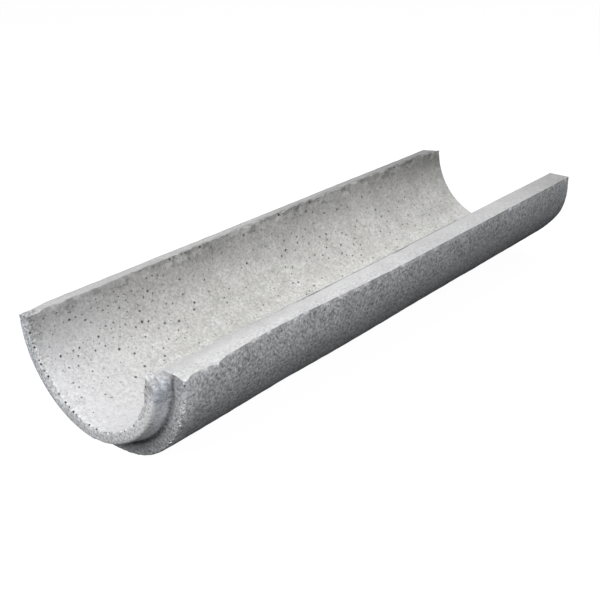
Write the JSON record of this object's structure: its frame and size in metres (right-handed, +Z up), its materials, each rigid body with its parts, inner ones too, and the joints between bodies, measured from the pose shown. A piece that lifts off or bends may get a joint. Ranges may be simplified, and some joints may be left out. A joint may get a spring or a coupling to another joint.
{
  "type": "concrete drainage channel",
  "caption": "Half-round open drainage channel of cast concrete with flat rims, a plain end and a stepped spigot end for laying in a run.",
  "frame": {"origin": "on the ground below the middle of the overall length, under the channel's centre line", "axes": "+X along the channel from the spigot end to the plain end, +Y across it, +Z up out of the open side"},
  "size_m": [1, 0.332, 0.166],
  "materials": {
    "concrete": "rough cast with fine pores, smooth in the bore"
  },
  "bodies": {
    "root": {"channel_body": "concrete"}
  },
  "joints": []
}
